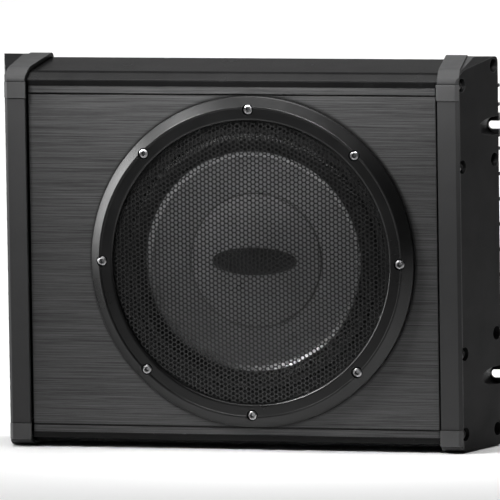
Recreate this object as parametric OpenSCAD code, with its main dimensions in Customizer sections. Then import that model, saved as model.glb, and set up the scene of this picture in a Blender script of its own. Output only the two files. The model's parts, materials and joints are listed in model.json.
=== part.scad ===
/* [Enclosure] */
// Width across both end caps at the front
front_w = 334; // [320:1:350]
// How far each end cap flares outwards at the back
flare = 16; // [12:1:20]
// Height of the end posts on the front face
face_h = 258; // [250:1:270]
// Depth of an end cap, without its rear ribs
cap_depth = 58; // [56:1:64]
// Height of the ribs and pads on the back, which touch the mounting surface
rib_h = 4; // [3:0.5:5]
// How far the top rises above the front post at the back
top_rise = 16.2; // [14:0.2:18]
// How far the bottom drops below the front post
bottom_drop = 6.5; // [5:0.5:8]
// Step from the end caps down to the enclosure
cap_step = 3.2; // [2.8:0.1:3.6]
// Width of an end cap's strip on the front
strip_w = 15.4; // [14:0.2:17]
// How far that strip drifts inwards towards the back
strip_drift = 6; // [4:0.5:8]
// Wall of the extruded enclosure
wall = 2.5; // [2:0.25:3]

/* [Front panel] */
// Thickness of the brushed panel
panel_t = 2; // [1.5:0.25:2.5]
// Height of the brushed panel
panel_h = 249; // [246:1:251]
// Gap between the panel and each end cap
panel_gap = 2; // [1:0.25:3]
// Height of the narrow strip above and below the panel's grooves
groove_inset = 5.4; // [5:0.2:8]

/* [Grille] */
// Outer diameter of the grille ring
ring_od = 237; // [230:1:240]
// Opening of the grille ring
ring_id = 203; // [200:1:206]
// Height of the grille ring
ring_h = 9.6; // [9:0.2:11]
// Circle that the grille screws lie on
grille_pcd = 218.6; // [216:0.2:222]
// Sideways place of the grille from the middle of the face
ring_x = 14.7; // [10:0.1:16]
// Rise of the domed grille mesh
mesh_rise = 2.6; // [1:0.2:3]

/* [Woofer] */
// Outer diameter of the basket's flange
flange_od = 212; // [210:1:214]
// Outer diameter of the cone
cone_od = 159; // [156:1:160]
// Depth of the cone
cone_depth = 16; // [14:1:17]
// Diameter of the dust cap
dust_cap_od = 95; // [90:1:100]
// Outer radius of the voice coil's former
former_r = 19.2; // [19:0.1:19.4]
// Diameter of the magnet
magnet_od = 108; // [100:1:110]

/* [Mounting] */
// Width of the open mounting slots
slot_w = 6; // [5:0.5:7]
// Height of each slot above or below the middle of the back
slot_z = 89.3; // [87:0.1:91]
// Depth of each slot from the outer edge
slot_depth = 8.3; // [7:0.1:9]

/* [Hidden] */
$fn = 96;

// The origin is the middle of the back, on the plane that the ribs touch. The front faces -Y.
cap_rear = -rib_h;
cap_front = cap_rear - cap_depth;
face_z = -(top_rise - bottom_drop) / 2;
post_top = face_z + face_h / 2;
post_bottom = face_z - face_h / 2;
cap_top = post_top + top_rise;
cap_bottom = post_bottom - bottom_drop;
front_x = front_w / 2;
rear_x = front_x + flare;
panel_front = cap_front + cap_step;
fit_gap = 0.2;
far = 400;

// Corners of the end cap's side outline: [y, z, corner radius]
cap_corners = [
    [cap_front, post_bottom - 1.2, 4],
    [cap_front + 8, cap_bottom, 14],
    [cap_rear, cap_bottom, 5],
    [cap_rear, cap_top, 5],
    [cap_front + 10.5, post_top + 8.6, 14],
    [cap_front, post_top + 1.8, 5]
];
arc_steps = 6;

// End cap plan
chamfer = 2.4;
pod_step = 0.8;
pod_wall = 2.5;
web_in = 159;
web_out = 161.5;
pod_front_x = front_x - pod_step;
pod_front_y = cap_front + chamfer + pod_step;
flare_slope = (rear_x - pod_front_x) / (cap_rear - pod_front_y);

// Side screws: the rows near the front and the back, and their heights
front_row_y = cap_front + 8;
rear_row_y = cap_rear - 6.5;
front_row_z = [face_z - 122, face_z - 64.7, face_z + 68.5, face_z + 126.5];
rear_row_z = [-127.9, -59.1, 65.2, 132.2];
side_screw_places = concat(
    [for (z = front_row_z) [front_row_y, z]],
    [for (z = rear_row_z) [rear_row_y, z]]
);
well_r = 5;
screw_seat_x = 164.5;
screw_r = 2;
screw_hole_r = 2.05;
screw_head_r = 3.75;

// Enclosure
enclosure_half = 158;
port_r = 4;
rib_t = 2.2;
rib_places = [0, 18.1, 36.2, 54.3, 72.4, 104, 117.5];
rib_half_length = 144;
slot_pad_h = 17;
foot_t = rib_h + 0.5;
pocket_r = 6.5;
slot_end_x = rear_x - slot_depth;

// Front panel
groove_w = 1.3;
groove_depth = 1.1;

// Corner trims
trim_h = 11.4;
trim_proud = 0.7;
top_trim_z = post_top - 1.6 - trim_h;
bottom_trim_z = post_bottom - 1;
trim_lip = 1.6;

// Woofer: heights are measured forwards from the panel's front face
flange_t = 1.2;
cone_lip_r = cone_od / 2;
cone_lip_h = -1;
cone_neck_h = cone_lip_h - cone_depth;
cone_slope = cone_depth / (cone_lip_r - former_r);
cone_t = 0.8;
basket_r = 93;
ledge_h = -20;
ledge_r = 64;
dust_cap_r = dust_cap_od / 2;
dust_cap_base_h = cone_lip_h - (cone_lip_r - dust_cap_r) * cone_slope;
dust_cap_rise = 7.4;
badge_w = 62;
badge_h = 19.4;
plate_front_h = -27;
plate_t = 6;
magnet_t = 9.5;
back_t = 4.5;
pole_r = 18.3;
coil_r = 20;
plate_bore_r = 20.6;
woofer_screw_r = 1.5;
woofer_screw_pcd = 203;
woofer_room_r = flange_od / 2 - 7;
woofer_room_depth = 30;
mesh_rim_h = 6.2;
mesh_t = 0.8;
mesh_r = 104;

// Amplifier and control panel
rear_wall_in = cap_rear - cap_step - wall;
board_back = rear_wall_in - 5.3;
board_t = 1.6;
board_front = board_back - board_t;
board_x = [-134, -64];
board_half_h = 95;
board_hole_places = [for (x = [-129, -69], z = [-88, 88]) [x, z]];
plate_x = -web_out;
control_plate_t = 1.5;
control_face_x = plate_x - control_plate_t;
window_y = [-46, -16];
window_half_h = 78;
control_y = -31;
knob_r = 4.6;
knob_places = [-48, -58.5, -69];
shaft_r = 2.2;
shaft_fit = 0.06;
led_z = 71;
rca_y = [-38.5, -23.5];
rca_z = -20;
rca_r = 4.15;
rca_flange_t = 1.2;
terminal_ways = 3;
terminal_pitch = 11;
terminal_screw_r = 1.6;
control_screw_places = [for (y = [window_y[0] + 2.2, window_y[1] - 2.2], z = [-74.5, 74.5]) [y, z]];

// Unit vector along v
function unit(v) = v / norm(v);

// The corner at index i of an outline, as its point only
function corner(points, i) =
    let (p = points[(i + len(points)) % len(points)])
    [p[0], p[1]];

// Points along the round at one corner of an outline
function round_at(points, i) =
    let (
        p = corner(points, i),
        u = unit(corner(points, i - 1) - p),
        v = unit(corner(points, i + 1) - p),
        r = points[i][2],
        half = acos(u * v) / 2,
        middle = p + unit(u + v) * r / sin(half),
        from = p + u * r / tan(half) - middle,
        to = p + v * r / tan(half) - middle,
        start = atan2(from[1], from[0]),
        turn = atan2(to[1], to[0]) - start,
        sweep = turn > 180 ? turn - 360 : turn < -180 ? turn + 360 : turn
    )
    [for (k = [0:arc_steps]) middle + r * [cos(start + sweep * k / arc_steps), sin(start + sweep * k / arc_steps)]];

// An outline with its corners rounded, from points of [x, y, radius]
function rounded(points) = [for (i = [0:len(points) - 1]) each round_at(points, i)];

// The same outline moved inwards by d
function inset(points, d) = [
    for (i = [0:len(points) - 1])
        let (
            p = corner(points, i),
            u = unit(corner(points, i - 1) - p),
            v = unit(corner(points, i + 1) - p),
            q = p + unit(u + v) * d / sin(acos(u * v) / 2)
        )
        [q[0], q[1], max(points[i][2] - d, 0.6)]
];

// Outline of an arc that rises by rise over a half span, and back along it at thickness t
function dome(half_span, rise, base, t, steps = 14) =
    let (
        r = (half_span * half_span + rise * rise) / (2 * rise),
        edge = asin(half_span / r)
    )
    concat(
        [for (k = [0:steps]) let (a = edge * k / steps) [r * sin(a), base + rise - r + r * cos(a)]],
        [for (k = [steps:-1:0]) let (a = edge * k / steps) [r * sin(a), base + rise - r + r * cos(a) - t]]
    );

// Extrudes an outline drawn in Y and Z along X, from x0 to x1
module along_x(x0, x1) {
    translate([x0, 0, 0])
        rotate([90, 0, 90])
            linear_extrude(x1 - x0)
                children();
}

// A cylinder along X from x0 to x1
module bar_x(r, x0, x1, y, z) {
    translate([x0, y, z])
        rotate([0, 90, 0])
            cylinder(r = r, h = x1 - x0);
}

// A box between two corners
module block(low, high) {
    translate(low)
        cube(high - low);
}

// Puts a piece that is drawn round +Z, with +Z forwards, on the woofer's axis at the panel's front
module on_woofer() {
    translate([ring_x, panel_front, face_z])
        rotate([90, 0, 0])
            children();
}

// Copies children to count places on a circle round +Z
module round_copies(pcd, count, first = 0) {
    for (i = [0:count - 1])
        rotate(first + i * 360 / count)
            translate([pcd / 2, 0, 0])
                children();
}

// ---- Enclosure ----

module enclosure_section() {
    difference() {
        polygon(rounded(inset(cap_corners, cap_step)));
        difference() {
            polygon(rounded(inset(cap_corners, cap_step + wall)));
            translate([cap_front, -far / 2])
                square([cap_step + panel_t + wall, far]);
            for (p = side_screw_places)
                translate(p)
                    circle(r = port_r);
        }
        translate([cap_front, face_z - panel_h / 2 - fit_gap])
            square([cap_step + panel_t, panel_h + 2 * fit_gap]);
        for (p = side_screw_places)
            translate(p)
                circle(r = screw_hole_r);
    }
}

module enclosure() {
    color("dimgray")
    difference() {
        union() {
            along_x(-enclosure_half, enclosure_half)
                enclosure_section();
            for (z = rib_places, side = [-1, 1])
                translate([-rib_half_length, cap_rear - cap_step - 0.5, side * z - rib_t / 2])
                    cube([2 * rib_half_length, rib_h + cap_step + 0.5, rib_t]);
        }
        on_woofer() {
            translate([0, 0, -woofer_room_depth])
                cylinder(r = woofer_room_r, h = woofer_room_depth);
            translate([0, 0, -panel_t - wall - 1])
                round_copies(grille_pcd, 8)
                    cylinder(r = screw_hole_r, h = wall + 2);
            translate([0, 0, -panel_t - wall - 1])
                round_copies(woofer_screw_pcd, 8, 22.5)
                    cylinder(r = woofer_screw_r + 0.05, h = wall + 2);
        }
    }
}

module front_panel() {
    half_w = front_x - strip_w - panel_gap;
    color("gray")
    difference() {
        block([-half_w, panel_front, face_z - panel_h / 2], [half_w, panel_front + panel_t, face_z + panel_h / 2]);
        for (side = [-1, 1])
            translate([-half_w - 1, panel_front - 1, face_z + side * (panel_h / 2 - groove_inset) - groove_w / 2])
                cube([2 * half_w + 2, 1 + groove_depth, groove_w]);
        on_woofer() {
            translate([0, 0, -panel_t - 1])
                cylinder(r = flange_od / 2 + 0.3, h = panel_t + 2);
            translate([0, 0, -panel_t - 1])
                round_copies(grille_pcd, 8)
                    cylinder(r = screw_hole_r, h = panel_t + 2);
        }
    }
}

// ---- End caps, drawn for the right end ----

module strip_plan() {
    inner = front_x - strip_w;
    polygon([
        [inner, cap_front],
        [front_x - chamfer, cap_front],
        [front_x, cap_front + chamfer],
        [front_x - strip_drift, cap_rear],
        [inner - strip_drift, cap_rear]
    ]);
}

// Plan of the flared side, moved inwards by d
module pod_plan(d = 0) {
    shift = d * norm([1, flare_slope]);
    polygon([
        [web_in - 6, pod_front_y + d],
        [pod_front_x - shift, pod_front_y + d],
        [rear_x - shift, cap_rear - d + 0.001],
        [web_in - 6, cap_rear - d + 0.001]
    ]);
}

module pod_solid(d = 0) {
    intersection() {
        along_x(web_in - 8, rear_x + 1)
            polygon(rounded(inset(cap_corners, pod_step + d)));
        translate([0, 0, -far / 2])
            linear_extrude(far)
                pod_plan(d);
    }
}

// The space round a mounting slot, grown by d
module slot_pocket(side, d = 0) {
    middle_x = slot_end_x + pocket_r - 0.2;
    translate([middle_x, cap_front - 1, side * slot_z])
        rotate([-90, 0, 0])
            cylinder(r = pocket_r + d, h = cap_depth + 1 - (foot_t - rib_h));
    block(
        [middle_x, cap_front - 1, side * slot_z - pocket_r - d],
        [rear_x + 5, cap_rear - (foot_t - rib_h), side * slot_z + pocket_r + d]
    );
}

module mounting_slot(side) {
    middle_x = slot_end_x + slot_w / 2;
    translate([middle_x, -foot_t - 1, side * slot_z])
        rotate([-90, 0, 0])
            cylinder(r = slot_w / 2, h = foot_t + 2);
    block([middle_x, -foot_t - 1, side * slot_z - slot_w / 2], [rear_x + 5, 1, side * slot_z + slot_w / 2]);
}

module rear_ribs() {
    strip_rear_x = front_x - strip_w - strip_drift;
    for (z = rib_places, side = [-1, 1])
        block([strip_rear_x, cap_rear - 1, side * z - rib_t / 2], [rear_x, 0, side * z + rib_t / 2]);
    for (side = [-1, 1])
        block(
            [rear_x - 18, cap_rear - 1, side * slot_z - slot_pad_h / 2],
            [rear_x, 0, side * slot_z + slot_pad_h / 2]
        );
}

module end_cap() {
    difference() {
        union() {
            difference() {
                union() {
                    intersection() {
                        along_x(front_x - strip_w - strip_drift - 1, front_x + 1)
                            polygon(rounded(cap_corners));
                        translate([0, 0, -far / 2])
                            linear_extrude(far)
                                strip_plan();
                    }
                    pod_solid();
                }
                along_x(front_x - strip_w - strip_drift - 2, web_in)
                    polygon(rounded(inset(cap_corners, cap_step - fit_gap)));
                intersection() {
                    pod_solid(pod_wall);
                    block([web_out, cap_front, -far / 2], [far, 0, far / 2]);
                }
            }
            intersection() {
                pod_solid();
                union() {
                    for (p = side_screw_places)
                        bar_x(well_r + 1.6, web_in, rear_x, p[0], p[1]);
                    for (side = [-1, 1])
                        slot_pocket(side, 2);
                }
            }
            rear_ribs();
        }
        for (p = side_screw_places) {
            bar_x(well_r, screw_seat_x, rear_x + 5, p[0], p[1]);
            bar_x(screw_hole_r, web_in - 1, screw_seat_x + 1, p[0], p[1]);
        }
        for (side = [-1, 1]) {
            slot_pocket(side);
            mounting_slot(side);
        }
    }
}

module end_cap_right() {
    color([0.13, 0.13, 0.13])
        end_cap();
}

module end_cap_left() {
    color([0.13, 0.13, 0.13])
    difference() {
        mirror([1, 0, 0])
            end_cap();
        block([-rear_x - 1, window_y[0], -window_half_h], [-web_out, window_y[1], window_half_h]);
        block([-web_out - 1, window_y[0] + 3, 3 - window_half_h], [1 - web_in, window_y[1] - 3, window_half_h - 3]);
    }
}

// A block near one end of a front post, from low_z up
module corner_trim(side, low_z) {
    inner = front_x - strip_w;
    lip_inner = inner - trim_lip * strip_drift / cap_depth;
    color("gray")
        mirror([side < 0 ? 1 : 0, 0, 0])
            translate([0, 0, low_z])
                linear_extrude(trim_h)
                    polygon([
                        [inner - 0.6, cap_front - trim_proud],
                        [front_x - chamfer, cap_front - trim_proud],
                        [front_x + 0.3, cap_front + chamfer - 0.4],
                        [front_x, cap_front + chamfer],
                        [front_x - chamfer, cap_front],
                        [inner, cap_front],
                        [lip_inner, cap_front + trim_lip],
                        [lip_inner - 0.6, cap_front + trim_lip]
                    ]);
}

module end_gasket() {
    along_x(enclosure_half, web_in)
        difference() {
            polygon(rounded(inset(cap_corners, cap_step + 0.1)));
            polygon(rounded(inset(cap_corners, cap_step + 4.2)));
            for (p = side_screw_places)
                translate(p)
                    circle(r = screw_hole_r);
        }
}

// A button-head screw along +Z, with its seat at z = 0
module button_screw(head_r, head_h, shank_r, length, key_r) {
    difference() {
        union() {
            translate([0, 0, -length])
                cylinder(r = shank_r, h = length);
            cylinder(r = head_r, h = head_h * 0.45);
            translate([0, 0, head_h * 0.45])
                cylinder(r1 = head_r, r2 = head_r * 0.62, h = head_h * 0.55);
        }
        translate([0, 0, head_h * 0.35])
            cylinder(r = key_r, h = head_h, $fn = 6);
    }
}

module side_screws() {
    for (p = side_screw_places)
        translate([screw_seat_x, p[0], p[1]])
            rotate([0, 90, 0])
                button_screw(screw_head_r, 2.4, screw_r, 20, 1.4);
}

// ---- Grille ----

module grille_ring() {
    outer_r = ring_od / 2;
    inner_r = ring_id / 2;
    color([0.2, 0.2, 0.2])
    on_woofer()
        difference() {
            rotate_extrude()
                polygon([
                    [outer_r, 0],
                    [outer_r, 3.6],
                    [outer_r - 0.5, 4.2],
                    [inner_r + 8.9, ring_h],
                    [inner_r + 8.3, ring_h],
                    [inner_r + 8, ring_h - 0.6],
                    [inner_r + 1.4, ring_h - 0.6],
                    [inner_r, ring_h - 1.8],
                    [inner_r, mesh_rim_h],
                    [mesh_r + 0.5, mesh_rim_h],
                    [mesh_r + 0.5, 0]
                ]);
            round_copies(grille_pcd, 8) {
                cylinder(r = screw_hole_r, h = ring_h);
                translate([0, 0, ring_h - 3])
                    cylinder(r = screw_head_r + 0.4, h = 4);
            }
        }
}

module grille_mesh() {
    inner_r = ring_id / 2;
    color([0.15, 0.15, 0.15])
    on_woofer()
        union() {
            rotate_extrude()
                polygon(dome(inner_r - 0.5, mesh_rise, mesh_rim_h, mesh_t));
            rotate_extrude()
                polygon([
                    [inner_r - 0.7, mesh_rim_h - mesh_t],
                    [mesh_r, mesh_rim_h - mesh_t],
                    [mesh_r, mesh_rim_h],
                    [inner_r - 0.7, mesh_rim_h]
                ]);
        }
}

module grille_screws() {
    color("silver")
    on_woofer()
        round_copies(grille_pcd, 8)
            translate([0, 0, ring_h - 3])
                button_screw(screw_head_r, 2.5, screw_r, 12, 1.4);
}

// ---- Woofer ----

module woofer_basket() {
    color([0.1, 0.1, 0.1])
    on_woofer()
        difference() {
            rotate_extrude()
                polygon([
                    [basket_r, 0],
                    [flange_od / 2, 0],
                    [flange_od / 2, -flange_t],
                    [basket_r + 4, -flange_t],
                    [ledge_r + 1.5, ledge_h - 1],
                    [ledge_r - 4, ledge_h - 1.5],
                    [ledge_r - 6, plate_front_h],
                    [30, plate_front_h],
                    [30, plate_front_h + 1.5],
                    [ledge_r - 7.5, plate_front_h + 1.5],
                    [ledge_r - 5.5, ledge_h],
                    [ledge_r, ledge_h],
                    [basket_r, -2]
                ]);
            for (i = [0:7])
                rotate(45 * i)
                    block([ledge_r + 4, -15, -17], [basket_r + 4, 15, -4]);
            translate([0, 0, -flange_t - 1])
                round_copies(woofer_screw_pcd, 8, 22.5)
                    cylinder(r = woofer_screw_r + 0.05, h = flange_t + 2);
        }
}

module woofer_gasket() {
    color([0.05, 0.05, 0.05])
    on_woofer()
        translate([0, 0, -panel_t])
            difference() {
                cylinder(r = flange_od / 2 - 0.2, h = panel_t - flange_t);
                translate([0, 0, -1])
                    cylinder(r = woofer_room_r + 0.1, h = panel_t);
                translate([0, 0, -1])
                    round_copies(woofer_screw_pcd, 8, 22.5)
                        cylinder(r = woofer_screw_r + 0.1, h = panel_t);
            }
}

module woofer_screws() {
    color("silver")
    on_woofer()
        round_copies(woofer_screw_pcd, 8, 22.5)
            button_screw(2.6, 1.8, woofer_screw_r, 9, 1);
}

module surround() {
    roll_in = cone_lip_r + 0.7;
    roll_out = basket_r - 0.5;
    middle = (roll_in + roll_out) / 2;
    roll_r = (roll_out - roll_in) / 2;
    roll_rise = 4.4;
    roll_t = 0.9;
    color([0.06, 0.06, 0.06])
    on_woofer()
        rotate_extrude()
            polygon(concat(
                [[cone_lip_r - 4, cone_lip_h + 1.1], [cone_lip_r - 4, cone_lip_h + 0.1]],
                [[roll_in, cone_lip_h + 0.1]],
                [for (a = [150:-15:30]) [middle + (roll_r - roll_t) * cos(a), (roll_rise - roll_t) * sin(a)]],
                [[roll_out, 0], [basket_r + 4, 0], [basket_r + 4, 1]],
                [for (a = [0:15:180]) [middle + roll_r * cos(a), 1 + (roll_rise - 1) * sin(a)]]
            ));
}

module cone() {
    color("gray")
    on_woofer()
        rotate_extrude()
            polygon([
                [former_r, cone_neck_h],
                [cone_lip_r - 4.5, cone_lip_h - 4.5 * cone_slope],
                [cone_lip_r - 4, cone_lip_h],
                [cone_lip_r, cone_lip_h],
                [cone_lip_r, cone_lip_h - cone_t],
                [cone_lip_r - 3.4, cone_lip_h - cone_t],
                [cone_lip_r - 3.8, cone_lip_h - 4.5 * cone_slope - cone_t],
                [former_r, cone_neck_h - cone_t]
            ]);
}

module dust_cap() {
    color("darkgray")
    on_woofer()
        rotate_extrude()
            polygon(dome(dust_cap_r, dust_cap_rise, dust_cap_base_h + 0.9, 0.7));
}

// A plain blank oval, bedded on the dust cap
module dust_cap_badge() {
    color([0.05, 0.05, 0.05])
    on_woofer()
        intersection() {
            rotate_extrude()
                polygon(dome(dust_cap_r, dust_cap_rise, dust_cap_base_h + 1.4, 0.5));
            translate([0, 0, -20])
                linear_extrude(40)
                    polygon([for (a = [0:6:354]) [badge_w / 2 * cos(a), badge_h / 2 * sin(a)]]);
        }
}

module coil_former() {
    color("tan")
    on_woofer()
        translate([0, 0, -36])
            difference() {
                cylinder(r = former_r, h = 36 + cone_neck_h + 2);
                translate([0, 0, -1])
                    cylinder(r = former_r - 0.4, h = 40);
            }
}

module voice_coil() {
    color("peru")
    on_woofer()
        translate([0, 0, -35])
            difference() {
                cylinder(r = coil_r, h = 10);
                translate([0, 0, -1])
                    cylinder(r = former_r, h = 12);
            }
}

module spider() {
    waves = 4;
    r0 = former_r;
    r1 = ledge_r - 0.5;
    steps = 32;
    wave = function(k) 0.8 * sin(360 * waves * k / steps);
    color("goldenrod")
    on_woofer()
        rotate_extrude()
            polygon(concat(
                [for (k = [0:steps]) [r0 + (r1 - r0) * k / steps, ledge_h + 1.9 + (k > 2 && k < 28 ? wave(k) : 0)]],
                [for (k = [steps:-1:0]) [r0 + (r1 - r0) * k / steps, ledge_h + 1.2 + (k > 2 && k < 28 ? wave(k) : 0)]]
            ));
}

module plate_ring(outer_r, inner_r, back_h, t) {
    translate([0, 0, back_h])
        difference() {
            cylinder(r = outer_r, h = t);
            translate([0, 0, -1])
                cylinder(r = inner_r, h = t + 2);
        }
}

module top_plate() {
    color("silver")
    on_woofer()
        plate_ring(50, plate_bore_r, plate_front_h - plate_t, plate_t);
}

module magnet() {
    color([0.18, 0.18, 0.18])
    on_woofer()
        plate_ring(magnet_od / 2, 26, plate_front_h - plate_t - magnet_t, magnet_t);
}

module back_plate() {
    back_h = plate_front_h - plate_t - magnet_t;
    color("silver")
    on_woofer() {
        translate([0, 0, back_h - back_t])
            cylinder(r = 50, h = back_t);
        translate([0, 0, back_h - 0.001])
            cylinder(r = pole_r, h = plate_t + magnet_t);
    }
}

module woofer_terminals() {
    color("saddlebrown")
    on_woofer()
        for (side = [-1, 1])
            rotate(180 + side * 5)
                translate([ledge_r + 4.5, -3, ledge_h - 8.2])
                    cube([3.5, 6, 5.5]);
}

module tinsel_leads() {
    lead_r = 0.7;
    bend_r = 80;
    sweep = 24;
    color("orangered")
    on_woofer()
        for (side = [-1, 1])
            rotate(180 + side * 8)
                translate([60, 0, -15 + bend_r])
                    rotate([90, 0, 0])
                        rotate([0, 0, 270 - sweep / 2])
                            rotate_extrude(angle = sweep)
                                translate([bend_r, 0])
                                    circle(r = lead_r, $fn = 24);
}

// ---- Amplifier ----

module amp_board() {
    color("darkgreen")
    difference() {
        block([board_x[0], board_front, -board_half_h], [board_x[1], board_back, board_half_h]);
        for (p = board_hole_places)
            translate([p[0], board_back + 1, p[1]])
                rotate([90, 0, 0])
                    cylinder(r = 1.6, h = board_t + 2);
    }
}

module board_standoffs() {
    color("gold")
    for (p = board_hole_places)
        translate([p[0], rear_wall_in, p[1]])
            rotate([90, 0, 0])
                difference() {
                    cylinder(r = 3, h = rear_wall_in - board_back);
                    translate([0, 0, 0.5])
                        cylinder(r = 1.6, h = 10);
                }
}

module board_screws() {
    color("silver")
    for (p = board_hole_places)
        translate([p[0], board_front, p[1]])
            rotate([90, 0, 0])
                button_screw(2.8, 2, 1.5, 5, 1);
}

module heat_bar() {
    color("silver")
        block([-146, rear_wall_in - 14.3, -54], [-136, rear_wall_in, 54]);
}

module power_transistors() {
    color([0.1, 0.1, 0.1])
    for (z = [-52, -20, 12, 42])
        block([-136, board_front - 15.5, z], [-131.5, board_front, z + 10]);
}

module capacitor(z) {
    color("midnightblue")
    translate([-106, board_front, z])
        rotate([90, 0, 0])
            difference() {
                cylinder(r = 11, h = 28);
                translate([0, 0, 3])
                    rotate_extrude()
                        translate([11.4, 0])
                            circle(r = 1, $fn = 24);
            }
}

module power_toroid() {
    color("chocolate")
    translate([-106, board_front, -62])
        rotate([90, 0, 0])
            rotate_extrude()
                polygon(rounded([[9, 0, 2.5], [21, 0, 2.5], [21, 16, 2.5], [9, 16, 2.5]]));
}

module damping_foam() {
    color("darkslategray")
        block([105, rear_wall_in - 12, -54], [145, rear_wall_in, 54]);
}

// ---- Control panel on the left end ----

module control_plate() {
    color([0.3, 0.3, 0.3])
    difference() {
        block(
            [control_face_x, window_y[0] + 0.4, 0.4 - window_half_h],
            [plate_x, window_y[1] - 0.4, window_half_h - 0.4]
        );
        for (z = knob_places)
            bar_x(3.6, control_face_x - 1, plate_x + 1, control_y, z);
        for (y = rca_y)
            bar_x(rca_r + 0.45, control_face_x - 1, plate_x + 1, y, rca_z);
        bar_x(1.6, control_face_x - 1, plate_x + 1, rca_y[0], led_z);
        block([control_face_x - 1, control_y - 5, 48], [plate_x + 1, control_y + 5, 66]);
        block([control_face_x - 1, control_y - 8, 11], [plate_x + 1, control_y + 8, 45]);
        block([control_face_x - 1, control_y - 6, -8], [plate_x + 1, control_y + 6, 8]);
        block([control_face_x - 1, rca_y[0] - 4, -42], [plate_x + 1, rca_y[0] + 4, -32]);
        block([control_face_x - 1, rca_y[1] - 2.2, -42.5], [plate_x + 1, rca_y[1] + 2.2, -31.5]);
        for (p = control_screw_places)
            bar_x(1.3, control_face_x - 1, plate_x + 1, p[0], p[1]);
    }
}

module control_plate_screws() {
    color("silver")
    for (p = control_screw_places)
        translate([control_face_x, p[0], p[1]])
            rotate([0, -90, 0])
                button_screw(2, 1.4, 1.2, 1.4, 0.8);
}

module power_led() {
    color("red")
        union() {
            bar_x(1.5, control_face_x - 1, plate_x + 1, rca_y[0], led_z);
            translate([control_face_x - 1, rca_y[0], led_z])
                sphere(r = 1.5, $fn = 48);
        }
}

module fuse_holder() {
    color([0.12, 0.12, 0.12])
    difference() {
        block([control_face_x - 3, control_y - 4.9, 48.1], [plate_x + 9, control_y + 4.9, 65.9]);
        block([control_face_x - 4, control_y - 3.2, 50], [plate_x + 7, control_y + 3.2, 64]);
    }
}

module fuse() {
    body_out = control_face_x - 7;
    color("orange") {
        block([body_out, control_y - 2.9, 50.3], [control_face_x - 0.5, control_y + 2.9, 63.7]);
        for (z = [51.5, 59])
            block([control_face_x - 0.6, control_y - 0.4, z], [plate_x + 6.5, control_y + 0.4, z + 3.4]);
    }
}

module power_terminal_block() {
    color([0.08, 0.08, 0.08])
    difference() {
        block([control_face_x - 8, control_y - 7.9, 11.1], [plate_x + 6, control_y + 7.9, 44.9]);
        for (i = [0:terminal_ways - 1]) {
            block(
                [control_face_x - 9, control_y - 4, 12.9 + i * terminal_pitch],
                [control_face_x + 1, control_y + 4, 21.1 + i * terminal_pitch]
            );
            bar_x(
                terminal_screw_r + 0.05, control_face_x, control_face_x + 5.5,
                control_y, 17 + i * terminal_pitch
            );
        }
    }
}

module terminal_screws() {
    color("silver")
    for (i = [0:terminal_ways - 1])
        translate([control_face_x + 1, control_y, 17 + i * terminal_pitch])
            rotate([0, -90, 0])
                button_screw(3.2, 2.4, terminal_screw_r, 4, 1);
}

module speaker_input_socket() {
    color("ivory")
    difference() {
        block([control_face_x - 6, control_y - 5.9, -7.9], [plate_x + 8, control_y + 5.9, 7.9]);
        block([control_face_x - 7, control_y - 4.6, -6.6], [plate_x + 4, control_y + 4.6, 6.6]);
    }
    color("gold")
    for (y = [-2, 2], z = [-3, 3])
        block([control_face_x - 0.8, control_y + y - 0.4, z - 0.4], [plate_x + 4.1, control_y + y + 0.4, z + 0.4]);
}

module rca_jack(y) {
    color("gold")
    difference() {
        union() {
            bar_x(rca_r, control_face_x - 7.5, plate_x + 6, y, rca_z);
            bar_x(5.6, control_face_x - rca_flange_t, control_face_x, y, rca_z);
        }
        bar_x(3.2, control_face_x - 8, plate_x + 2, y, rca_z);
    }
    color("white")
    difference() {
        bar_x(3.2, control_face_x - 6.9, plate_x + 2, y, rca_z);
        bar_x(1.6, control_face_x - 8, plate_x - 1, y, rca_z);
    }
}

module remote_socket() {
    color([0.1, 0.1, 0.1])
    difference() {
        block([control_face_x - 1, rca_y[0] - 3.9, -41.9], [plate_x + 9, rca_y[0] + 3.9, -32.1]);
        block([control_face_x - 2, rca_y[0] - 2.8, -40.6], [plate_x + 7, rca_y[0] + 2.8, -33.4]);
    }
}

module phase_switch_body() {
    color("silver")
    difference() {
        block([control_face_x - 0.4, rca_y[1] - 2.1, -42.4], [plate_x + 6, rca_y[1] + 2.1, -31.6]);
        block([control_face_x - 1, rca_y[1] - 1.4, -41.2], [plate_x + 3, rca_y[1] + 1.4, -32.8]);
    }
}

module phase_switch_lever() {
    color([0.9, 0.9, 0.9])
        block([control_face_x - 4, rca_y[1] - 1.1, -37], [plate_x + 2.7, rca_y[1] + 1.1, -33]);
}

module pot(z) {
    color("steelblue")
    difference() {
        union() {
            block([plate_x, control_y - 5.5, z - 5], [plate_x + 8, control_y + 5.5, z + 5]);
            bar_x(3.5, control_face_x - 0.6, plate_x + 0.1, control_y, z);
        }
        bar_x(shaft_r + shaft_fit, control_face_x - 2, plate_x + 5, control_y, z);
    }
}

module knob(z) {
    tip_x = control_face_x - 8;
    color([0.12, 0.12, 0.12])
    difference() {
        union() {
            bar_x(knob_r, tip_x, control_face_x - 1.2, control_y, z);
            bar_x(shaft_r, control_face_x - 1.3, plate_x + 4.5, control_y, z);
        }
        block([tip_x - 1, control_y - 0.5, z], [tip_x + 0.8, control_y + 0.5, z + knob_r + 1]);
    }
}

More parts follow.
